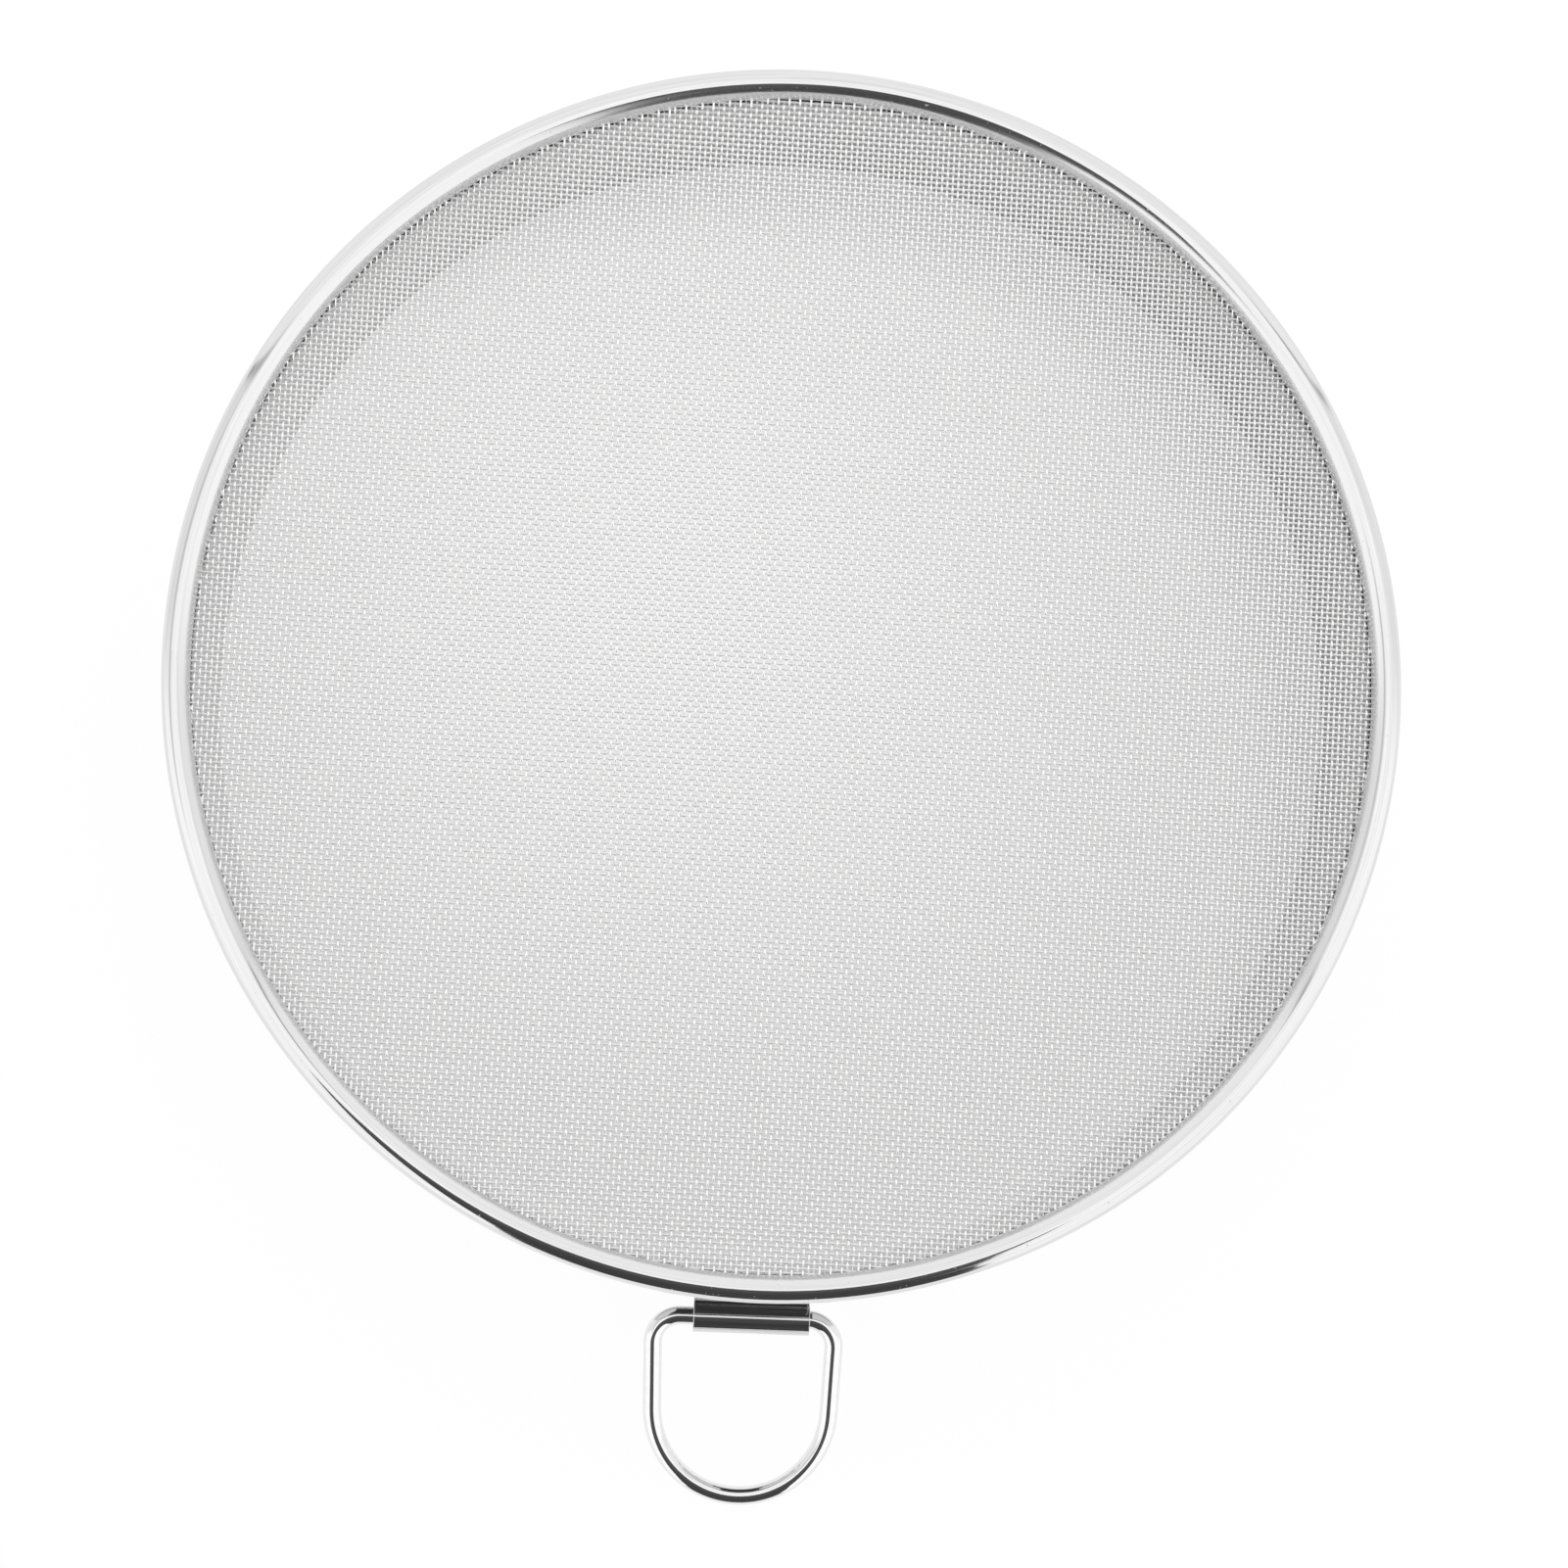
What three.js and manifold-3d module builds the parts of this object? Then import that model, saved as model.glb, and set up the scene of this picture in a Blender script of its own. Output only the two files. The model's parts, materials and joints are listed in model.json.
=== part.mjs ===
// Drum-type flour sieve: a sheet hoop, a woven wire mesh gripped under a rolled rim bead,
// and a D-shaped hanging ring that swings in a folded strap clip.
// Millimetres, +Z up. The sieve stands on the hoop's open edge with the mesh uppermost,
// and the hanging ring lies out towards -Y with its end just above the table.
import * as THREE from "three";
import { mergeVertices } from "three/addons/utils/BufferGeometryUtils.js";
import Module from "manifold-3d";

// Hoop
const hoopInnerRadius = 97;
const hoopHeight = 44;
const hoopSheet = 0.5;
const hoopBend = 0.8;
const hemWidth = 2.4;
const hemHeight = 4;

// Woven mesh
const meshWire = 0.3;
const warpPitch = 0.9;
const weftPitch = 0.862;
const meshTurn = THREE.MathUtils.degToRad(-0.9);

// Rim bead and the wire rolled into it
const beadWidth = 4.5;
const beadSheet = 0.5;
const lipReach = 2.6;
const rimWireClearance = 0.25;

// Hanging ring
const ringWire = 3.2;
const ringWidth = 34.7;
const ringReach = 32.5;
const ringBend = 3;
const ringTaper = THREE.MathUtils.degToRad(1.8);
const ringButtGap = 0.3;
const ringSlide = 1.2;

// Strap clip
const clipWidth = 20;
const clipStrap = 0.8;
const clipBend = 0.8;
const clipTabLength = 11;
const clipReach = 8.9;
const barClearance = 0.35;

// Gap between pieces that lie against each other on curved faces
const fitGap = 0.3;

// Fineness of the facets
const roundSegments = 52;
const beadSegments = 6;
const bendSegments = 2;
const wireSides = 8;
const ringSteps = 50;
const barrelSegments = 14;

// Heights worked out from the sizes above
const meshTop = hoopHeight + 2 * meshWire;
const beadRadius = beadWidth / 2;
const beadBore = beadRadius - beadSheet;
const beadCentreHeight = meshTop + beadBore;
const lipTop = hoopHeight - hoopSheet;
const lipBottom = lipTop - beadSheet;
const neckBottom = hemHeight + fitGap;
const neckTop = neckBottom + 2 * clipStrap;
const barHeight = (neckTop + neckBottom) / 2;

// Radii worked out from the sizes above
const hoopOuterRadius = hoopInnerRadius + hoopSheet;
const beadCentreRadius = hoopInnerRadius + beadRadius;
const beadOuterRadius = hoopInnerRadius + beadWidth;
const flangeRadius = beadOuterRadius - beadSheet - fitGap;
const barrelBore = ringWire / 2 + barClearance;
const barrelRadius = barrelBore + clipStrap;
const barRadius = hoopOuterRadius + clipReach;
const tabInner = hoopOuterRadius + fitGap;
const tabOuter = tabInner + 2 * clipStrap;

// The ring leans down until its end nearly touches the table
const ringTip = ringReach - ringWire / 2;
const ringLean = Math.asin((barHeight - ringWire / 2 - fitGap) / ringTip);

const wasm = await Module();
wasm.setup();

const point = (x, y) => new THREE.Vector2(x, y);

// Points of an arc about (x, y), from one angle to another, both ends included.
function arc(x, y, radius, from, to, segments) {
  return Array.from({ length: segments + 1 }, (_, i) => {
    const angle = from + ((to - from) * i) / segments;
    return point(x + radius * Math.cos(angle), y + radius * Math.sin(angle));
  });
}

// A closed ring turned about Z from a section given as (radius, height), anticlockwise.
function turned(section) {
  const closed = [...section, section[0].clone()];
  return new THREE.LatheGeometry(closed, roundSegments).rotateX(Math.PI / 2);
}

function solidOf(geometry) {
  const bare = geometry.clone().deleteAttribute("normal").deleteAttribute("uv");
  const merged = mergeVertices(bare);
  return new wasm.Manifold(
    new wasm.Mesh({
      numProp: 3,
      vertProperties: new Float32Array(merged.attributes.position.array),
      triVerts: new Uint32Array(merged.index.array),
    }),
  );
}

function geometryOf(solid) {
  const mesh = solid.getMesh();
  const geometry = new THREE.BufferGeometry();
  geometry.setAttribute("position", new THREE.BufferAttribute(mesh.vertProperties, 3));
  geometry.setIndex(new THREE.BufferAttribute(mesh.triVerts, 1));
  return geometry;
}

// Side wall with a U-shaped hem at the open edge and an outward flange under the mesh.
function hoop() {
  const hemOuter = hoopInnerRadius + hemWidth;
  const innerBend = hoopBend - hoopSheet;
  const bendCentre = hoopInnerRadius + hoopBend;
  const flangeBend = hoopOuterRadius + innerBend;
  return turned([
    ...arc(bendCentre, hoopBend, hoopBend, Math.PI, 1.5 * Math.PI, bendSegments),
    ...arc(hemOuter - hoopBend, hoopBend, hoopBend, 1.5 * Math.PI, 2 * Math.PI, bendSegments),
    point(hemOuter, hemHeight),
    point(hemOuter - hoopSheet, hemHeight),
    point(hemOuter - hoopSheet, hoopSheet),
    point(hoopOuterRadius, hoopSheet),
    point(hoopOuterRadius, lipTop - innerBend),
    point(flangeBend, lipTop),
    point(flangeRadius, lipTop),
    point(flangeRadius, hoopHeight),
    ...arc(bendCentre, hoopHeight - hoopBend, hoopBend, Math.PI / 2, Math.PI, bendSegments),
  ]);
}

// One set of parallel mesh wires along Y, joined by the edge that the bead presses flat.
function wireLayer(pitch) {
  const outline = new THREE.Shape().absarc(0, 0, flangeRadius, 0, 2 * Math.PI);
  const halfChord = (x) => Math.sqrt(hoopInnerRadius ** 2 - x ** 2);
  const slotsEachSide = Math.floor(hoopInnerRadius / pitch - 0.5);
  for (let i = -slotsEachSide; i < slotsEachSide; i++) {
    const left = i * pitch + meshWire / 2;
    const right = (i + 1) * pitch - meshWire / 2;
    outline.holes.push(
      new THREE.Path([
        point(left, -halfChord(left)),
        point(left, halfChord(left)),
        point(right, halfChord(right)),
        point(right, -halfChord(right)),
      ]),
    );
  }
  return new THREE.ExtrudeGeometry(outline, {
    depth: meshWire,
    bevelEnabled: false,
    curveSegments: roundSegments / 2,
  });
}

// Half-round channel: its inner edge presses on the mesh and its lip closes under the flange.
function rimBead() {
  const lipInner = beadOuterRadius - lipReach;
  const lipBend = beadSheet / 2;
  return turned([
    point(lipInner, lipBottom),
    ...arc(beadOuterRadius - lipBend, lipBottom + lipBend, lipBend, -Math.PI / 2, 0, bendSegments),
    ...arc(beadCentreRadius, beadCentreHeight, beadRadius, 0, Math.PI, beadSegments),
    point(hoopInnerRadius, meshTop),
    point(hoopInnerRadius + beadSheet, meshTop),
    ...arc(beadCentreRadius, beadCentreHeight, beadBore, Math.PI, 0, beadSegments),
    point(beadOuterRadius - beadSheet, lipTop),
    point(lipInner, lipTop),
  ]);
}

function rimWire() {
  const radius = beadBore - rimWireClearance;
  const section = arc(beadCentreRadius, beadCentreHeight, radius, 0, 2 * Math.PI, wireSides);
  return turned(section.slice(0, wireSides));
}

// Strap folded round the ring's bar: barrel, doubled neck over the hem, and doubled tab up the hoop's wall.
function ringClip() {
  const tabTop = neckTop + clipTabLength;
  const outerBend = clipBend + 2 * clipStrap;
  const neckAngle = Math.asin(clipStrap / barrelRadius);
  const tabStart = Math.sqrt(tabInner ** 2 - (clipWidth / 2) ** 2) - fitGap;
  const outline = new THREE.Shape([
    point(tabStart, neckBottom + outerBend),
    ...arc(tabInner + outerBend, neckBottom + outerBend, outerBend, Math.PI, 1.5 * Math.PI, bendSegments),
    ...arc(barRadius, barHeight, barrelRadius, neckAngle - Math.PI, Math.PI - neckAngle, barrelSegments),
    ...arc(tabOuter + clipBend, neckTop + clipBend, clipBend, 1.5 * Math.PI, Math.PI, bendSegments),
    point(tabOuter, tabTop),
    point(tabStart, tabTop),
  ]);
  outline.holes.push(new THREE.Path(arc(barRadius, barHeight, barrelBore, 0, 2 * Math.PI, barrelSegments)));
  const strap = new THREE.ExtrudeGeometry(outline, { depth: clipWidth, bevelEnabled: false });
  strap.translate(0, 0, -clipWidth / 2).rotateX(Math.PI / 2).rotateZ(-Math.PI / 2);
  const seat = new THREE.CylinderGeometry(tabInner, tabInner, 2 * hoopHeight, roundSegments);
  seat.rotateX(Math.PI / 2);
  return geometryOf(solidOf(strap).subtract(solidOf(seat)));
}

// Centre line of the D-shaped ring: straight bar, tapering legs and a round end.
class RingLine extends THREE.Curve {
  constructor() {
    super();
    const wire = ringWire / 2;
    const halfBar = ringWidth / 2 - wire;
    const bend = ringBend + wire;
    const bendX = halfBar - bend * Math.tan(ringTaper) - bend / Math.cos(ringTaper);
    const endCentre = (ringTip - halfBar * Math.cos(ringTaper)) / (1 - Math.sin(ringTaper));
    const endRadius = ringTip - endCentre;
    this.path = new THREE.Path();
    this.path.moveTo(ringButtGap / 2, 0);
    this.path.absarc(bendX, bend, bend, -Math.PI / 2, ringTaper);
    this.path.absarc(0, endCentre, endRadius, ringTaper, Math.PI - ringTaper);
    this.path.absarc(-bendX, bend, bend, Math.PI - ringTaper, 1.5 * Math.PI);
    this.path.lineTo(-ringButtGap / 2, 0);
  }

  getPoint(t, target = new THREE.Vector3()) {
    const { x, y } = this.path.getPoint(t);
    return target.set(x, -y, 0);
  }
}

function hangRing() {
  const section = new THREE.Shape(arc(0, 0, ringWire / 2, 0, 2 * Math.PI, wireSides).slice(0, wireSides));
  return new THREE.ExtrudeGeometry(section, { steps: ringSteps, extrudePath: new RingLine() });
}

const steel = (color, roughness) => new THREE.MeshStandardMaterial({ color, roughness, metalness: 1 });
const satinSteel = steel(0xc4c6c8, 0.35);
const brightSteel = steel(0xd8dadc, 0.12);
const wireSteel = steel(0xcbcdcf, 0.28);

function piece(name, geometry, material) {
  const mesh = new THREE.Mesh(geometry, material);
  mesh.name = name;
  return mesh;
}

const weftWires = piece("mesh_weft_wires", wireLayer(weftPitch).rotateZ(Math.PI / 2 + meshTurn), wireSteel);
weftWires.position.z = hoopHeight;

const warpWires = piece("mesh_warp_wires", wireLayer(warpPitch).rotateZ(meshTurn), wireSteel);
warpWires.position.z = hoopHeight + meshWire;

const ring = piece("hang_ring", hangRing(), brightSteel);
ring.position.set(-ringSlide, -barRadius, barHeight);
ring.rotation.x = ringLean;

const sieve = new THREE.Group();
sieve.add(
  piece("hoop", hoop(), satinSteel),
  weftWires,
  warpWires,
  piece("rim_bead", rimBead(), brightSteel),
  piece("rim_wire", rimWire(), wireSteel),
  piece("ring_clip", ringClip(), satinSteel),
  ring,
);

// The frame's origin is under the middle of the whole sieve, ring included.
const ringEnd = barRadius + ringTip * Math.cos(ringLean) + ringWire / 2;
sieve.position.y = (ringEnd - beadOuterRadius) / 2;

const part = new THREE.Group();
part.add(sieve);

export default part;
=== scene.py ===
"""Looks of the drum flour sieve: rolled rim, woven wire mesh, satin hoop, strap clip and hanging ring."""

import json
import math
import random

import bmesh
import bpy
from mathutils import Matrix, Vector


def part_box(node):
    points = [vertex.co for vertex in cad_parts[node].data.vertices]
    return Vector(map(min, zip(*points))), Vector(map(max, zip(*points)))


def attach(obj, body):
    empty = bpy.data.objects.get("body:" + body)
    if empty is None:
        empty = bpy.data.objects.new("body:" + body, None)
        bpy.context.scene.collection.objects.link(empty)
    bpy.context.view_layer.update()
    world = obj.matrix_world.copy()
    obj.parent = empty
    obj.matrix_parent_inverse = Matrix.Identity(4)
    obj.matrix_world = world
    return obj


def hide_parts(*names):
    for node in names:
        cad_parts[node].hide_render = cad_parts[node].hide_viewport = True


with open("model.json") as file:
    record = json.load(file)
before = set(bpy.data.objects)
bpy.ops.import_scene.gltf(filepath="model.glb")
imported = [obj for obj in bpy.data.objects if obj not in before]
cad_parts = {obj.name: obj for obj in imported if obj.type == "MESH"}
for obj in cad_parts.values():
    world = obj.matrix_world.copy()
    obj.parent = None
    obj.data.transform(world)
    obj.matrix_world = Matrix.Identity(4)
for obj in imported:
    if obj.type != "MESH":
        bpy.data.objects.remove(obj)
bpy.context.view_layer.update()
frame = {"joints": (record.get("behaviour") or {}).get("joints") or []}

MM = 0.001
TURN = 2 * math.pi
WHITE = (1, 1, 1, 1)

# Sizes that the solids share, in metres
HOOP_SHEET = 0.5 * MM
HOOP_BEND = 0.8 * MM
HEM_WIDTH = 2.4 * MM
HEM_HEIGHT = 4.0 * MM
MESH_WIRE = 0.30 * MM
WARP_PITCH = 0.9 * MM
WEFT_PITCH = 0.862 * MM
MESH_TURN = math.radians(-0.9)
BEAD_WIDTH = 4.5 * MM
BEAD_SHEET = 0.5 * MM
LIP_REACH = 2.6 * MM
RING_WIRE = 3.2 * MM
RING_WIDTH = 34.7 * MM
RING_REACH = 32.5 * MM
RING_BEND = 3.0 * MM
RING_TAPER = math.radians(1.8)
RING_BUTT_GAP = 0.3 * MM
CLIP_STRAP = 0.8 * MM
CLIP_BEND = 0.8 * MM
CLIP_TAB = 11.0 * MM
BAR_CLEARANCE = 0.35 * MM
FIT_GAP = 0.3 * MM

# Places read from the frame
bead_low, bead_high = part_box("rim_bead")
hoop_low, hoop_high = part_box("hoop")
clip_low, clip_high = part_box("ring_clip")
AXIS = (bead_low + bead_high) / 2
BEAD_OUTER = (bead_high.x - bead_low.x) / 2
BEAD_INNER = BEAD_OUTER - BEAD_WIDTH
BEAD_TOP = bead_high.z
LIP_BOTTOM = bead_low.z
HOOP_INNER = BEAD_INNER
HOOP_TOP = hoop_high.z
FLANGE_RADIUS = (hoop_high.x - hoop_low.x) / 2
MESH_TOP = HOOP_TOP + 2 * MESH_WIRE
hinge = frame["joints"][0]
BAR = Vector(hinge["pos_m"])
ring_low, ring_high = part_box("hang_ring")
RING_MIDDLE = (ring_low.x + ring_high.x) / 2
RING_TIP = RING_REACH - RING_WIRE / 2
RING_LEAN = math.asin((BAR.z - RING_WIRE / 2 - FIT_GAP) / RING_TIP)
CLIP_WIDTH = clip_high.x - clip_low.x

# Weave: the warp's share of the crimp, how full the wires are, and the loom's unevenness in pitches
WARP_CRIMP = 0.7
WIRE_FULLNESS = 1.1
LOOM_UNEVENNESS = 0.01
WARP_SEED = 11
WEFT_SEED = 23

# Bead: how far its crest lies off the middle, and the sliver of flat that parts its two bends
BEAD_LEAN = 0.1 * MM
CREST_FLAT = 0.001 * MM
CREST_RADIUS = BEAD_INNER + BEAD_WIDTH / 2 + BEAD_LEAN

# Eased edge of the clip's strap
STRAP_EDGE = 0.12 * MM
STRAP_EDGE_ANGLE = math.radians(60)

# Grain of the metal: the part of a noise that is used, depth of its relief, and its coarseness round the axis
NOISE_LOW = 0.3
NOISE_HIGH = 0.7
RELIEF_DEPTH = 0.02 * MM
GRAIN_AROUND = 3
BLUE_SHARE = 0.995

# Bead's finish: its streaks, the duller inner flank below the crest, and specks
BEAD_STREAKS = 3500
BEAD_TONE = (0.71, 0.81)
BEAD_ROUGH = (0.02, 0.12)
BEAD_RELIEF = 0.08
FLANK_START = 0.17 * BEAD_WIDTH
FLANK_END = 0.28 * BEAD_WIDTH
FLANK_TONE = 0.78
FLANK_ROUGH = 0.2
SPECK_GRAIN = (1400, 1400, 1400)
SPECK_LEVELS = (0.74, 0.78)
SPECK_ROUGH = 0.45

# Hoop's finish: tones inside and outside, the inside darker as painted shade, and painted shade in the corner
# between its wall and the mesh
SHEET_GRAIN = 9000
# Painted shade: the inside wall's tone is kept darker than the outside's
SHEET_INSIDE_SHADED = (0.34, 0.43)
SHEET_OUTSIDE = (0.50, 0.60)
SHEET_ROUGH = (0.03, 0.07)
SHEET_RELIEF = 0.1
OUTSIDE_START = HOOP_INNER + 0.2 * HOOP_SHEET
OUTSIDE_FULL = HOOP_INNER + 0.8 * HOOP_SHEET
# Painted shade: near-black tone at the top of the inside wall, in the corner under the rim, and how far down
# it reaches
CORNER_PAINTED_SHADE = 0.03
CORNER_SHADE = 3.2 * MM
CORNER_DARKEST = 0.6 * CORNER_SHADE

# Table: how much of its look is plain white paper glow, and where that glow paints it bright and where it
# paints shade, from the sieve's axis
TABLE_HALF = 4.0
TABLE_COLOUR = (0.95, 0.95, 0.95, 1)
PAPER_GLOW = 1.02
# Painted light and shade: more glow under the middle of the mesh, less by the wall, and less still in the
# shade to the far side
PAINTED_LIGHT_MIDDLE = 0.76
PAINTED_SHADE_BY_WALL = 0.46
PAPER_IN_SHADE = 0.2
PAPER_OUTSIDE = 0.93
BRIGHT_SPOT = (-20 * MM, 24 * MM)
BRIGHT_REACH = 1.2 * HOOP_INNER
# Painted shade: where the table's glow falls off towards the far wall
SHADE_CENTRE = (-10 * MM, -10 * MM)
SHADE_START = 0.92 * HOOP_INNER
SHADE_FULL = 1.16 * HOOP_INNER

# Light tent: levels of its walls, back, sides and seams, and where they lie as parts of a unit direction
TENT_WALL = 1.17
TENT_BACK = 1.04
TENT_LEFT = 0.9
TENT_RIGHT = 0.97
SIDES_BEHIND = (0.0, 0.2)
SIDES_BELOW_TOP = (0.28, 0.4)
LEFT_TO_RIGHT = (-0.1, 0.1)
TENT_SEAM = 0.43
SEAM_START = 0.15
SEAM_SLOPE = 0.5
SEAM_HALF_WIDTH = 0.025
SEAM_CORE = 0.2 * SEAM_HALF_WIDTH
SEAM_PAST_TOP = (0.1, 0.2)

# Grey strip of the tent, up its left side
STRIP_LEVEL = 0.65
STRIP_SLOPE = -0.75
STRIP_HALF_WIDTH = 0.22
STRIP_CORE = 0.5 * STRIP_HALF_WIDTH
STRIP_FRONT = (-0.12, 0.05)
STRIP_BACK = (0.4, 0.3)

# Dark opening of the tent: levels near the sieve and further out, height, and corners as (aside, in front)
OPENING_LEVEL = 0.095
OPENING_DEEP = 0.06
OPENING_DEEPENS = (0.2, 0.7)
OPENING_HEIGHT = 0.71
OPENING_RIGHT = ((0.17, 0.17), (0.18, 0.28), (0.3, 0.6), (0.5, 1.1), (1.2, 2.5))
OPENING_LEFT = ((0.16, 0.15), (0.4, 0.3), (0.46, 0.5), (0.56, 1.1), (1.2, 2.5))
LOW_OPENING_TOP = 0.27
LOW_OPENING_SLOPE = 0.46
LOW_OPENING_EDGE = 0.03

# Camera: lens and sensor in millimetres, place from the sieve's axis on the table, and turns
CAMERA_LENS = 83.64
CAMERA_SENSOR = 36.0
CAMERA_PLACE = Vector((-22.75, -67.315, 638.43)) * MM
CAMERA_TIP_X = math.radians(4.820)
CAMERA_TIP_Y = math.radians(-2.266)
CAMERA_ROLL = math.radians(3.119)

# Fineness of the surfaces
ROUND_STEPS = 288
BEND_STEPS = 6
BEAD_STEPS = 14
BARREL_STEPS = 40
RING_BEND_STEPS = 16
RING_END_STEPS = 48
RING_FINENESS = 10
WIRES_PER_STRIP = 26
MERGE_DISTANCE = 1e-6
SHARP_ANGLE = math.radians(40)
RING_SHARP_ANGLE = math.radians(50)


def new_object(name, data):
    """An object of the scene, for a mesh or a camera."""
    thing = bpy.data.objects.new(name, data)
    bpy.context.scene.collection.objects.link(thing)
    return thing


def new_piece(name, mesh, material, body, slot, *nodes):
    """An object for a finished mesh, riding on a body in place of CAD nodes."""
    piece = new_object(name, mesh)
    mesh.materials.append(material)
    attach(piece, body)
    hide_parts(*nodes)
    return piece


def mesh_from(bm, name):
    """A smooth-shaded mesh with its sharp edges kept crisp."""
    mesh = bpy.data.meshes.new(name)
    bm.to_mesh(mesh)
    bm.free()
    mesh.shade_smooth()
    mesh.set_sharp_from_angle(angle=SHARP_ANGLE)
    return mesh


def keep_flats_flat(piece):
    """Lets large faces set the shading at their edges, so that flat faces mirror as flat ones."""
    shading = piece.modifiers.new("flat_faces", "WEIGHTED_NORMAL")
    shading.keep_sharp = True


def section(bm, corners):
    """A flat face in the plane of radius and height. Gives the vertices at its corners."""
    verts = [bm.verts.new((radius, 0, height)) for radius, height in corners]
    bm.faces.new(verts)
    return verts


def round_corners(bm, verts, radius, steps):
    """Rounds corners of a flat section."""
    bmesh.ops.bevel(
        bm, geom=verts, offset=radius, offset_type="OFFSET", affect="VERTICES",
        segments=steps, profile=0.5, material=-1,
    )


def turn_section(bm):
    """Turns the section's outline once round the sieve's axis into a closed skin."""
    bmesh.ops.delete(bm, geom=bm.faces[:], context="FACES_ONLY")
    bmesh.ops.spin(
        bm, geom=bm.verts[:] + bm.edges[:], cent=(0, 0, 0), axis=(0, 0, 1),
        angle=TURN, steps=ROUND_STEPS, use_merge=True,
    )
    bmesh.ops.remove_doubles(bm, verts=bm.verts[:], dist=MERGE_DISTANCE)
    bmesh.ops.recalc_face_normals(bm, faces=bm.faces[:])
    bmesh.ops.translate(bm, verts=bm.verts[:], vec=(AXIS.x, AXIS.y, 0))


def arc(x, y, radius, start, end, steps):
    """Points of an arc, both ends included."""
    angles = [start + (end - start) * i / steps for i in range(steps + 1)]
    return [(x + radius * math.cos(a), y + radius * math.sin(a)) for a in angles]


def new_wire(name, radius, fineness):
    """A curve that sweeps a wire along its splines."""
    curve = bpy.data.curves.new(name, "CURVE")
    curve.dimensions = "3D"
    curve.twist_mode = "Z_UP"
    curve.bevel_depth = radius
    curve.bevel_resolution = fineness
    return curve


def add_spline(curve, places, tilt=0.0):
    """A run of wire through places."""
    spline = curve.splines.new("POLY")
    spline.points.add(len(places) - 1)
    for point, (x, y, z) in zip(spline.points, places):
        point.co = (x, y, z, 1)
        point.tilt = tilt


def swept_mesh(curve, name):
    """The smooth-shaded mesh of a swept wire."""
    holder = bpy.data.objects.new("holder", curve)
    mesh = bpy.data.meshes.new_from_object(holder)
    mesh.name = name
    bpy.data.objects.remove(holder)
    mesh.shade_smooth()
    return mesh


# Materials


def new_material(name):
    """A material made of nodes, and its node tree."""
    material = bpy.data.materials.new(name)
    material.use_nodes = True
    return material, material.node_tree


def bare_metal(name):
    """A metal material, its node tree and its shader."""
    material, tree = new_material(name)
    shader = tree.nodes["Principled BSDF"]
    shader.inputs["Metallic"].default_value = 1.0
    return material, tree, shader


def feed(tree, value, socket):
    """Sets a socket to a number, or links it to another node's value."""
    if isinstance(value, (int, float)):
        socket.default_value = value
    else:
        tree.links.new(value, socket)


def object_place(tree):
    """Each point's place in the object's own coordinates."""
    return tree.nodes.new("ShaderNodeTexCoord").outputs["Object"]


def parted(tree, vector):
    """The X, Y and Z of a vector."""
    node = tree.nodes.new("ShaderNodeSeparateXYZ")
    tree.links.new(vector, node.inputs[0])
    return node.outputs["X"], node.outputs["Y"], node.outputs["Z"]


def joined(tree, *values):
    """A vector from its X, Y and Z."""
    node = tree.nodes.new("ShaderNodeCombineXYZ")
    for value, socket in zip(values, node.inputs):
        feed(tree, value, socket)
    return node.outputs[0]


def combined(tree, operation, *values):
    """Values joined by one math operation."""
    node = tree.nodes.new("ShaderNodeMath")
    node.operation = operation
    for value, socket in zip(values, node.inputs):
        feed(tree, value, socket)
    return node.outputs[0]


def blended(tree, share, first, second):
    """The first value where the share is 0, the second where it is 1."""
    node = tree.nodes.new("ShaderNodeMix")
    tree.links.new(share, node.inputs["Factor"])
    feed(tree, first, node.inputs["A"])
    feed(tree, second, node.inputs["B"])
    return node.outputs["Result"]


def ramp_between(tree, value, start, end):
    """0 before start, 1 after end, smooth between."""
    node = tree.nodes.new("ShaderNodeMapRange")
    node.interpolation_type = "SMOOTHSTEP"
    node.inputs["From Min"].default_value = start
    node.inputs["From Max"].default_value = end
    tree.links.new(value, node.inputs["Value"])
    return node.outputs["Result"]


def noise_at(tree, place, detail):
    """Noise at a place that is already scaled."""
    noise = tree.nodes.new("ShaderNodeTexNoise")
    noise.inputs["Scale"].default_value = 1.0
    noise.inputs["Detail"].default_value = detail
    tree.links.new(place, noise.inputs["Vector"])
    return noise.outputs["Fac"]


def stretched_noise(tree, stretch, detail):
    """Noise on object coordinates, scaled differently along each axis."""
    mapping = tree.nodes.new("ShaderNodeMapping")
    mapping.inputs["Scale"].default_value = stretch
    tree.links.new(object_place(tree), mapping.inputs["Vector"])
    return noise_at(tree, mapping.outputs["Vector"], detail)


def round_grain(tree, across):
    """Grain that runs round the sieve's axis, and each point's distance from that axis."""
    centred = tree.nodes.new("ShaderNodeVectorMath")
    centred.operation = "SUBTRACT"
    centred.inputs[1].default_value = (AXIS.x, AXIS.y, 0)
    tree.links.new(object_place(tree), centred.inputs[0])
    x, y, z = parted(tree, centred.outputs[0])
    length = tree.nodes.new("ShaderNodeVectorMath")
    length.operation = "LENGTH"
    tree.links.new(joined(tree, x, y, 0), length.inputs[0])
    radius = length.outputs["Value"]
    turn = combined(tree, "ARCTAN2", y, x)
    place = joined(
        tree,
        combined(tree, "MULTIPLY", radius, across),
        combined(tree, "MULTIPLY", z, across),
        combined(tree, "MULTIPLY", turn, GRAIN_AROUND),
    )
    return noise_at(tree, place, detail=3.0), radius


def ranged(tree, noise, low, high):
    """Noise spread over a range of values."""
    node = tree.nodes.new("ShaderNodeMapRange")
    node.inputs["From Min"].default_value = NOISE_LOW
    node.inputs["From Max"].default_value = NOISE_HIGH
    node.inputs["To Min"].default_value = low
    node.inputs["To Max"].default_value = high
    tree.links.new(noise, node.inputs["Value"])
    return node.outputs["Result"]


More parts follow.
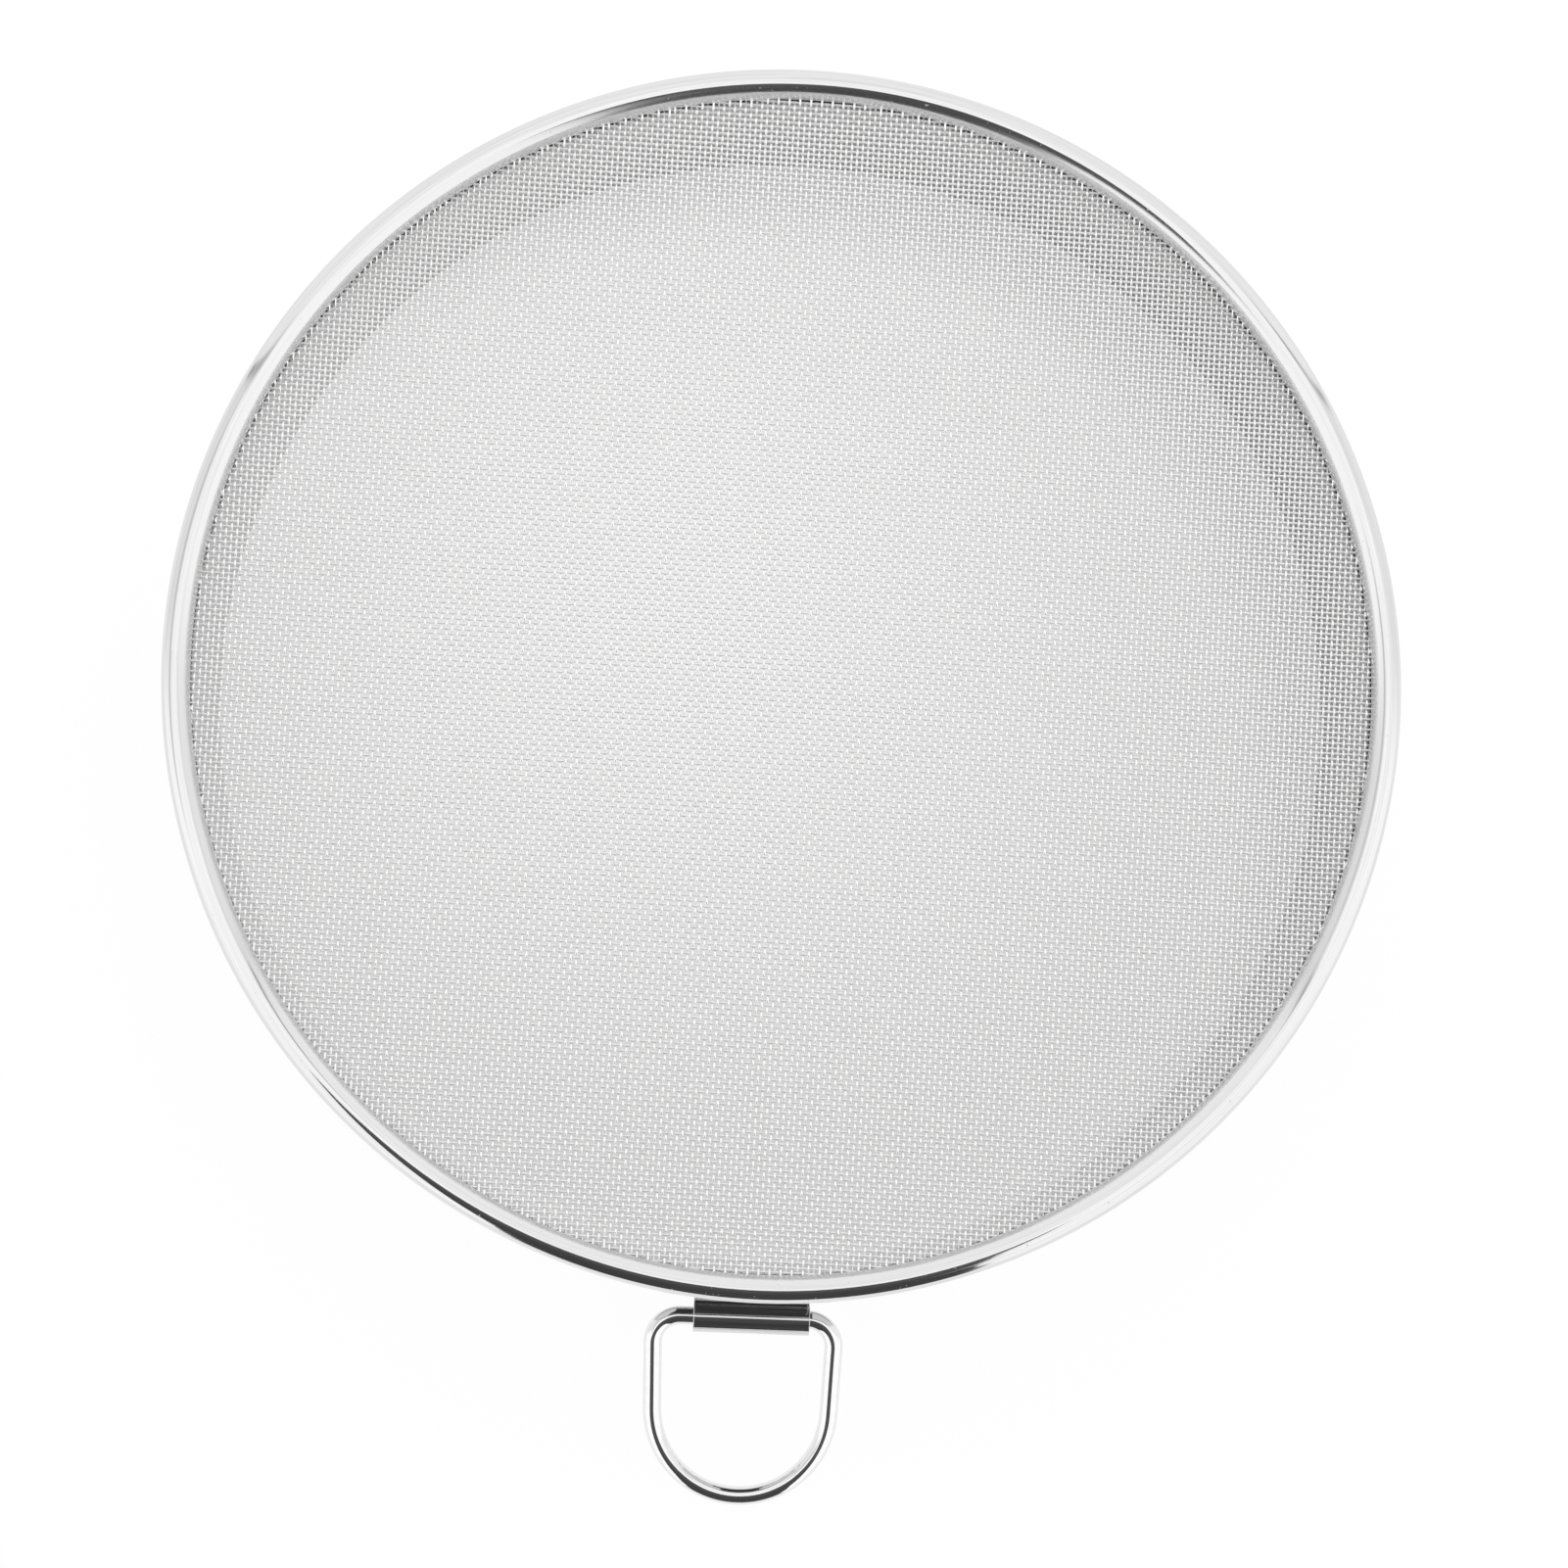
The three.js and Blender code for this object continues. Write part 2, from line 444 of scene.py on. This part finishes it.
def grey_ramp(tree, noise, dark, light):
    """Noise as a grey between two tones, the lighter one a little warm."""
    ramp = tree.nodes.new("ShaderNodeValToRGB")
    first, last = ramp.color_ramp.elements
    first.position = NOISE_LOW
    first.color = (dark, dark, dark, 1)
    last.position = NOISE_HIGH
    last.color = (light, light, light * BLUE_SHARE, 1)
    tree.links.new(noise, ramp.inputs["Fac"])
    return ramp.outputs["Color"]


def add_relief(tree, shader, height, strength):
    """Fine relief of a grain."""
    relief = tree.nodes.new("ShaderNodeBump")
    relief.inputs["Strength"].default_value = strength
    relief.inputs["Distance"].default_value = RELIEF_DEPTH
    tree.links.new(height, relief.inputs["Height"])
    tree.links.new(relief.outputs["Normal"], shader.inputs["Normal"])


def steel(name, tone, rough, stretch, relief):
    """Bare steel with a grain that changes its tone, gloss and relief."""
    material, tree, shader = bare_metal(name)
    grain = stretched_noise(tree, stretch, detail=4.0)
    tree.links.new(grey_ramp(tree, grain, *tone), shader.inputs["Base Color"])
    tree.links.new(ranged(tree, grain, *rough), shader.inputs["Roughness"])
    add_relief(tree, shader, grain, relief)
    return material


def rolled_steel(name):
    """Polished bead: streaks round the rim, a duller inner flank and a few specks."""
    material, tree, shader = bare_metal(name)
    streaks, radius = round_grain(tree, BEAD_STREAKS)
    flank = ramp_between(tree, radius, CREST_RADIUS - FLANK_START, CREST_RADIUS - FLANK_END)
    tone = blended(tree, flank, ranged(tree, streaks, *BEAD_TONE), FLANK_TONE)
    tree.links.new(tone, shader.inputs["Base Color"])
    rough = blended(tree, flank, ranged(tree, streaks, *BEAD_ROUGH), FLANK_ROUGH)
    speck = ramp_between(tree, stretched_noise(tree, SPECK_GRAIN, detail=1.0), *SPECK_LEVELS)
    tree.links.new(blended(tree, speck, rough, SPECK_ROUGH), shader.inputs["Roughness"])
    add_relief(tree, shader, streaks, BEAD_RELIEF)
    return material


def rolled_sheet(name):
    """Satin sheet with its grain round the hoop, darker inside as painted shade, and with painted shade in
    the corner under the rim.
    """
    material, tree, shader = bare_metal(name)
    grain, radius = round_grain(tree, SHEET_GRAIN)
    _, _, height = parted(tree, object_place(tree))
    # Painted shade in the corner under the rim: the top of the inside wall turns nearly black
    corner = ramp_between(tree, height, HOOP_TOP - CORNER_SHADE, HOOP_TOP - CORNER_DARKEST)
    # Painted shade: the inside wall takes the darker tone, the outside the lighter one
    inside = blended(tree, corner, ranged(tree, grain, *SHEET_INSIDE_SHADED), CORNER_PAINTED_SHADE)
    outside = ramp_between(tree, radius, OUTSIDE_START, OUTSIDE_FULL)
    tone = blended(tree, outside, inside, ranged(tree, grain, *SHEET_OUTSIDE))
    tree.links.new(tone, shader.inputs["Base Color"])
    tree.links.new(ranged(tree, grain, *SHEET_ROUGH), shader.inputs["Roughness"])
    add_relief(tree, shader, grain, SHEET_RELIEF)
    return material


# Pieces


def make_hoop(material):
    """Sheet wall, hemmed outwards at the open edge and flanged outwards under the mesh."""
    hem_outer = HOOP_INNER + HEM_WIDTH
    wall_outer = HOOP_INNER + HOOP_SHEET
    bm = bmesh.new()
    corners = section(bm, [
        (HOOP_INNER, 0),
        (hem_outer, 0),
        (hem_outer, HEM_HEIGHT),
        (hem_outer - HOOP_SHEET, HEM_HEIGHT),
        (hem_outer - HOOP_SHEET, HOOP_SHEET),
        (wall_outer, HOOP_SHEET),
        (wall_outer, HOOP_TOP - HOOP_SHEET),
        (FLANGE_RADIUS, HOOP_TOP - HOOP_SHEET),
        (FLANGE_RADIUS, HOOP_TOP),
        (HOOP_INNER, HOOP_TOP),
    ])
    wide_bends, tight_bends = (0, 1, 9), (4, 5, 6)
    round_corners(bm, [corners[i] for i in wide_bends], HOOP_BEND, BEND_STEPS)
    bm.verts.ensure_lookup_table()
    round_corners(bm, [corners[i] for i in tight_bends], HOOP_BEND - HOOP_SHEET, BEND_STEPS)
    turn_section(bm)
    wall = new_piece("hoop_wall", mesh_from(bm, "hoop_wall"), material, "sieve", "hoop_steel", "hoop")
    keep_flats_flat(wall)


def make_bead(material):
    """Half-round channel that grips the mesh's edge and closes under the flange."""
    lip_inner = BEAD_OUTER - LIP_REACH
    flange_bottom = HOOP_TOP - HOOP_SHEET
    bm = bmesh.new()
    corners = section(bm, [
        (lip_inner, LIP_BOTTOM),
        (BEAD_OUTER, LIP_BOTTOM),
        (BEAD_OUTER, BEAD_TOP),
        (BEAD_INNER, BEAD_TOP),
        (BEAD_INNER, MESH_TOP),
        (BEAD_INNER + BEAD_SHEET, MESH_TOP),
        (BEAD_INNER + BEAD_SHEET, BEAD_TOP - BEAD_SHEET),
        (BEAD_OUTER - BEAD_SHEET, BEAD_TOP - BEAD_SHEET),
        (BEAD_OUTER - BEAD_SHEET, flange_bottom),
        (lip_inner, flange_bottom),
    ])
    round_corners(bm, [corners[1]], BEAD_SHEET / 2, BEND_STEPS)
    outer_bend = BEAD_WIDTH / 2 - BEAD_LEAN
    inner_bend = BEAD_WIDTH / 2 + BEAD_LEAN
    for outside, within, bend in ((2, 7, outer_bend), (3, 6, inner_bend)):
        round_corners(bm, [corners[outside]], bend - CREST_FLAT, BEAD_STEPS)
        round_corners(bm, [corners[within]], bend - BEAD_SHEET - CREST_FLAT, BEAD_STEPS)
    turn_section(bm)
    new_piece("rim_roll", mesh_from(bm, "rim_roll"), material, "sieve", "bead_steel", "rim_bead", "rim_wire")


def wire_places(pitch, seed):
    """Places of a set of parallel wires across the mesh, with the small unevenness of a loom."""
    loom = random.Random(seed)
    each_side = int(HOOP_INNER / pitch - 0.5)
    return [i * pitch + loom.gauss(0, LOOM_UNEVENNESS) * pitch for i in range(-each_side, each_side + 1)]


def wire_path(place, crossings, first_over, rise):
    """Points (along, height) of one wire, over and under the wires that it crosses."""
    grip = math.sqrt(FLANGE_RADIUS ** 2 - place ** 2) - FIT_GAP
    clear = math.sqrt(HOOP_INNER ** 2 - place ** 2)
    points = [(-grip, 0.0)]
    last = None
    for j, here in enumerate(crossings):
        if abs(here) > clear:
            continue
        side = 1 if (j + first_over) % 2 == 0 else -1
        if last is not None:
            points.append((last + (here - last) / 3, -side * rise / 2))
            points.append((here - (here - last) / 3, side * rise / 2))
        points.append((here, side * rise))
        last = here
    points.append((grip, 0.0))
    return points


def on_mesh(x, y, height):
    """A place on the mesh, from its middle, turned as the mesh lies in the hoop."""
    spot = Matrix.Rotation(MESH_TURN, 3, "Z") @ Vector((x, y, HOOP_TOP + MESH_WIRE + height))
    return AXIS.x + spot.x, AXIS.y + spot.y, spot.z


def make_wires(name, own, across, rise, material, node, lay):
    """One set of woven wires as swept splines, four-sided with a flat side up, in strips of neighbours."""
    radius = MESH_WIRE * WIRE_FULLNESS / math.sqrt(2)
    for strip in range(0, len(own), WIRES_PER_STRIP):
        curve = new_wire(f"{name}_{strip}", radius, 0)
        for i in range(strip, min(strip + WIRES_PER_STRIP, len(own))):
            if lay == "Y":
                path = wire_path(own[i], across, i, rise)
                places = [on_mesh(own[i], along, height) for along, height in path]
            else:
                path = wire_path(own[i], across, i + 1, rise)
                places = [on_mesh(along, own[i], height) for along, height in path]
            add_spline(curve, places, tilt=TURN / 8)
        mesh = swept_mesh(curve, f"{name}_{strip // WIRES_PER_STRIP + 1}")
        new_piece(mesh.name, mesh, material, "sieve", "mesh_steel", node)


def make_mesh(warp_finish, weft_finish):
    """Plain weave: every wire passes over one crossing wire and under the next."""
    warp = wire_places(WARP_PITCH, WARP_SEED)
    weft = wire_places(WEFT_PITCH, WEFT_SEED)
    warp_rise = WARP_CRIMP * MESH_WIRE
    weft_rise = (1 - WARP_CRIMP) * MESH_WIRE
    make_wires("mesh_warp", warp, weft, warp_rise, warp_finish, "mesh_warp_wires", "Y")
    make_wires("mesh_weft", weft, warp, weft_rise, weft_finish, "mesh_weft_wires", "X")


def fold_strap(bm):
    """Middle line of the strap: round the bar, along the neck and up the wall. Gives its two bends."""
    half = CLIP_STRAP / 2
    barrel_radius = RING_WIRE / 2 + BAR_CLEARANCE + half
    neck = math.asin(half / barrel_radius)
    tab_inner = AXIS.y - (HOOP_INNER + HOOP_SHEET + FIT_GAP + half)
    tab_outer = tab_inner - CLIP_STRAP
    tab_top = BAR.z + CLIP_STRAP + CLIP_TAB
    lower = bm.verts.new((clip_low.x, BAR.y + barrel_radius * math.cos(neck), BAR.z - half))
    barrel = bmesh.ops.spin(
        bm, geom=[lower], cent=(clip_low.x, BAR.y, BAR.z), axis=(1, 0, 0),
        angle=-(TURN - 2 * neck), steps=BARREL_STEPS,
    )
    upper = barrel["geom_last"][0]
    bends = []
    for end, tab in ((lower, tab_inner), (upper, tab_outer)):
        bend = bm.verts.new((clip_low.x, tab, end.co.z))
        head = bm.verts.new((clip_low.x, tab, tab_top))
        bm.edges.new((end, bend))
        bm.edges.new((bend, head))
        bends.append(bend)
    return bends


def make_clip(material):
    """Strap folded round the bar, with a doubled neck and a doubled tab on the hoop's wall."""
    bm = bmesh.new()
    bends = fold_strap(bm)
    widened = bmesh.ops.extrude_edge_only(bm, edges=bm.edges[:])["geom"]
    moved = [v for v in widened if isinstance(v, bmesh.types.BMVert)]
    bmesh.ops.translate(bm, verts=moved, vec=(CLIP_WIDTH, 0, 0))
    folds = [e for e in bm.edges if e.verts[0] in bends or e.verts[1] in bends]
    folds = [e for e in folds if abs(e.verts[0].co.x - e.verts[1].co.x) > CLIP_WIDTH / 2]
    bmesh.ops.bevel(
        bm, geom=folds, offset=CLIP_BEND + CLIP_STRAP / 2, offset_type="OFFSET", affect="EDGES",
        segments=BEND_STEPS, profile=0.5, material=-1,
    )
    bmesh.ops.recalc_face_normals(bm, faces=bm.faces[:])
    mesh = mesh_from(bm, "clip_strap")
    piece = new_piece("clip_strap", mesh, material, "sieve", "clip_steel", "ring_clip")
    thick = piece.modifiers.new("sheet", "SOLIDIFY")
    thick.thickness = CLIP_STRAP
    thick.offset = 0.0
    edge = piece.modifiers.new("edge", "BEVEL")
    edge.width = STRAP_EDGE
    edge.segments = 2
    edge.limit_method = "ANGLE"
    edge.angle_limit = STRAP_EDGE_ANGLE
    keep_flats_flat(piece)


def ring_line():
    """Centre line of the ring as (sideways, outwards): straight bar, tapering legs and a round end."""
    wire = RING_WIRE / 2
    half_bar = RING_WIDTH / 2 - wire
    bend = RING_BEND + wire
    bend_x = half_bar - bend * math.tan(RING_TAPER) - bend / math.cos(RING_TAPER)
    end_centre = (RING_TIP - half_bar * math.cos(RING_TAPER)) / (1 - math.sin(RING_TAPER))
    quarter = TURN / 4
    line = [(RING_BUTT_GAP / 2, 0)]
    line += arc(bend_x, bend, bend, -quarter, RING_TAPER, RING_BEND_STEPS)
    line += arc(0, end_centre, RING_TIP - end_centre, RING_TAPER, math.pi - RING_TAPER, RING_END_STEPS)
    line += arc(-bend_x, bend, bend, math.pi - RING_TAPER, 3 * quarter, RING_BEND_STEPS)
    line += [(-RING_BUTT_GAP / 2, 0)]
    return line


def make_ring(material):
    """D-shaped wire that leans down from the clip to the table, its ends butted inside the clip."""
    curve = new_wire("ring_path", RING_WIRE / 2, RING_FINENESS)
    curve.use_fill_caps = True
    level, drop = math.cos(RING_LEAN), math.sin(RING_LEAN)
    add_spline(curve, [(RING_MIDDLE + x, BAR.y - out * level, BAR.z - out * drop) for x, out in ring_line()])
    mesh = swept_mesh(curve, "ring_wire")
    mesh.set_sharp_from_angle(angle=RING_SHARP_ANGLE)
    new_piece("ring_wire", mesh, material, "ring", "ring_steel", "hang_ring")


# Studio


def show_mix(tree, share, first, second, output):
    """Shows the first shader where the share is 0 and the second where it is 1."""
    both = tree.nodes.new("ShaderNodeMixShader")
    out = tree.nodes.new(output)
    tree.links.new(share, both.inputs["Fac"])
    tree.links.new(first.outputs[0], both.inputs[1])
    tree.links.new(second.outputs[0], both.inputs[2])
    tree.links.new(both.outputs[0], out.inputs["Surface"])


def white_light(tree, kind):
    """A white shader that gives light."""
    shader = tree.nodes.new(kind)
    shader.inputs["Color"].default_value = WHITE
    return shader


def distance_from(tree, spot):
    """Distance of a point of the table from a spot that is given from the sieve's axis."""
    node = tree.nodes.new("ShaderNodeVectorMath")
    node.operation = "DISTANCE"
    node.inputs[1].default_value = (AXIS.x + spot[0], AXIS.y + spot[1], 0)
    tree.links.new(object_place(tree), node.inputs[0])
    return node.outputs["Value"]


def paper_and_painted_light(tree):
    """How much of the table's look is plain white paper glow, from place to place: painted light under the
    middle of the mesh, painted shade by the wall and to the far side, and an even white outside the hoop.
    """
    shade_towards_wall = ramp_between(tree, distance_from(tree, BRIGHT_SPOT), 0.0, BRIGHT_REACH)
    # Painted shade: less glow on the table towards the far wall
    shaded = ramp_between(tree, distance_from(tree, SHADE_CENTRE), SHADE_START, SHADE_FULL)
    outside = ramp_between(tree, distance_from(tree, (0, 0)), HOOP_INNER, BEAD_OUTER)
    # Painted light under the middle of the mesh, fading to painted shade towards the wall
    share = blended(tree, shade_towards_wall, PAINTED_LIGHT_MIDDLE, PAINTED_SHADE_BY_WALL)
    share = blended(tree, shaded, share, PAPER_IN_SHADE)
    return blended(tree, outside, share, PAPER_OUTSIDE)


def make_floor():
    """White table that the camera and the metal see nearly as white as paper, with the sieve's shadow and
    with light and shade painted into its glow under the mesh.
    """
    bm = bmesh.new()
    bmesh.ops.create_grid(bm, x_segments=1, y_segments=1, size=TABLE_HALF)
    floor = new_object("table", mesh_from(bm, "table"))
    material, tree = new_material("white_table")
    tree.nodes.clear()
    lit = tree.nodes.new("ShaderNodeBsdfDiffuse")
    lit.inputs["Color"].default_value = TABLE_COLOUR
    glow = white_light(tree, "ShaderNodeEmission")
    glow.inputs["Strength"].default_value = PAPER_GLOW
    ray = tree.nodes.new("ShaderNodeLightPath").outputs
    seen = combined(tree, "MAXIMUM", ray["Is Camera Ray"], ray["Is Glossy Ray"])
    # The glow's share paints light and shade under the mesh, and is an even white outside it
    paper = combined(tree, "MULTIPLY", seen, paper_and_painted_light(tree))
    show_mix(tree, paper, lit, glow, "ShaderNodeOutputMaterial")
    floor.data.materials.append(material)


def make_opening():
    """The dark opening that the sieve is photographed through, seen only in the metal."""
    bm = bmesh.new()
    left = [bm.verts.new((AXIS.x - aside, AXIS.y - out, OPENING_HEIGHT)) for aside, out in OPENING_LEFT]
    right = [bm.verts.new((AXIS.x + aside, AXIS.y - out, OPENING_HEIGHT)) for aside, out in OPENING_RIGHT]
    bm.faces.new(left + right[::-1])
    opening = new_object("tent_opening", mesh_from(bm, "tent_opening"))
    material, tree = new_material("dark_opening")
    tree.nodes.clear()
    dark = white_light(tree, "ShaderNodeEmission")
    near, far = OPENING_DEEPENS
    _, y, _ = parted(tree, object_place(tree))
    deeper = ramp_between(tree, y, AXIS.y - near, AXIS.y - far)
    tree.links.new(blended(tree, deeper, OPENING_LEVEL, OPENING_DEEP), dark.inputs["Strength"])
    clear = tree.nodes.new("ShaderNodeBsdfTransparent")
    ray = tree.nodes.new("ShaderNodeLightPath").outputs
    show_mix(tree, ray["Is Camera Ray"], dark, clear, "ShaderNodeOutputMaterial")
    opening.data.materials.append(material)


def tent_sides(tree, x, y, sideways):
    """Share of the tent's greyer sides, and their level from left to right."""
    behind = ramp_between(tree, y, *SIDES_BEHIND)
    below_top = ramp_between(tree, sideways, *SIDES_BELOW_TOP)
    rightwards = ramp_between(tree, x, *LEFT_TO_RIGHT)
    return combined(tree, "MULTIPLY", behind, below_top), blended(tree, rightwards, TENT_LEFT, TENT_RIGHT)


def tent_back(tree, y, sideways):
    """Shares of the tent's back and of the thin seams in front of it."""
    line = combined(tree, "MULTIPLY_ADD", sideways, SEAM_SLOPE, SEAM_START)
    past_line = combined(tree, "SUBTRACT", y, line)
    off_line = combined(tree, "ABSOLUTE", past_line)
    near_line = ramp_between(tree, off_line, SEAM_HALF_WIDTH, SEAM_CORE)
    past_top = ramp_between(tree, sideways, *SEAM_PAST_TOP)
    back = ramp_between(tree, past_line, -SEAM_HALF_WIDTH, SEAM_HALF_WIDTH)
    return back, combined(tree, "MULTIPLY", near_line, past_top)


def grey_strip(tree, x, y, z):
    """Share of the grey strip, which runs from the opening to the seams."""
    slope = combined(tree, "DIVIDE", x, z)
    off_strip = combined(tree, "ABSOLUTE", combined(tree, "SUBTRACT", slope, STRIP_SLOPE))
    strip = ramp_between(tree, off_strip, STRIP_HALF_WIDTH, STRIP_CORE)
    strip = combined(tree, "MULTIPLY", strip, ramp_between(tree, y, *STRIP_FRONT))
    return combined(tree, "MULTIPLY", strip, ramp_between(tree, y, *STRIP_BACK))


def low_opening(tree, y, z, sideways):
    """Share of the low end of the dark opening, down to the table in front."""
    ahead = combined(tree, "MULTIPLY", y, -LOW_OPENING_SLOPE)
    inwards = combined(tree, "SUBTRACT", ahead, sideways)
    between = ramp_between(tree, inwards, -LOW_OPENING_EDGE, LOW_OPENING_EDGE)
    low_down = ramp_between(tree, z, LOW_OPENING_TOP + LOW_OPENING_EDGE, LOW_OPENING_TOP)
    return combined(tree, "MULTIPLY", between, low_down)


def make_world():
    """White tent with greyer sides and back, thin seams, a grey strip and a dark end in front."""
    world = bpy.data.worlds.new("studio")
    bpy.context.scene.world = world
    world.use_nodes = True
    tree = world.node_tree
    tree.nodes.clear()
    x, y, z = parted(tree, tree.nodes.new("ShaderNodeTexCoord").outputs["Generated"])
    sideways = combined(tree, "ABSOLUTE", x)
    sides, side_level = tent_sides(tree, x, y, sideways)
    back, seam = tent_back(tree, y, sideways)
    level = blended(tree, sides, TENT_WALL, side_level)
    level = blended(tree, back, level, TENT_BACK)
    level = blended(tree, seam, level, TENT_SEAM)
    level = blended(tree, grey_strip(tree, x, y, z), level, STRIP_LEVEL)
    level = blended(tree, low_opening(tree, y, z, sideways), level, OPENING_DEEP)
    tent = white_light(tree, "ShaderNodeBackground")
    tree.links.new(level, tent.inputs["Strength"])
    paper = white_light(tree, "ShaderNodeBackground")
    ray = tree.nodes.new("ShaderNodeLightPath").outputs
    show_mix(tree, ray["Is Camera Ray"], tent, paper, "ShaderNodeOutputWorld")


def make_camera():
    """Looks down on the mesh from a little to the ring's side, as the photograph does."""
    data = bpy.data.cameras.new("camera")
    data.sensor_width = CAMERA_SENSOR
    data.lens = CAMERA_LENS
    camera = new_object("camera", data)
    over_axis = Matrix.Translation((AXIS.x, AXIS.y, 0)) @ Matrix.Rotation(MESH_TURN, 4, "Z")
    place = Matrix.Translation(CAMERA_PLACE)
    tip_y = Matrix.Rotation(CAMERA_TIP_Y, 4, "Y")
    tip_x = Matrix.Rotation(CAMERA_TIP_X, 4, "X")
    roll = Matrix.Rotation(CAMERA_ROLL, 4, "Z")
    camera.matrix_world = over_axis @ place @ tip_y @ tip_x @ roll
    bpy.context.scene.camera = camera


polished = steel(
    "polished_steel", tone=(0.82, 0.86), rough=(0.03, 0.08), stretch=(900, 900, 900), relief=0.05,
)
strap = steel(
    "rolled_strap", tone=(0.60, 0.76), rough=(0.05, 0.13), stretch=(60, 2000, 2000), relief=0.08,
)
burnished = steel(
    "burnished_wire", tone=(0.98, 1.0), rough=(0.12, 0.16), stretch=(1200, 1200, 400), relief=0.05,
)
drawn = steel(
    "drawn_wire", tone=(0.95, 0.99), rough=(0.60, 0.66), stretch=(1200, 1200, 400), relief=0.05,
)

make_hoop(rolled_sheet("satin_sheet"))
make_bead(rolled_steel("rolled_rim"))
make_mesh(burnished, drawn)
make_clip(strap)
make_ring(polished)
make_floor()
make_opening()
make_world()
make_camera()

bpy.context.scene.view_settings.view_transform = "Standard"
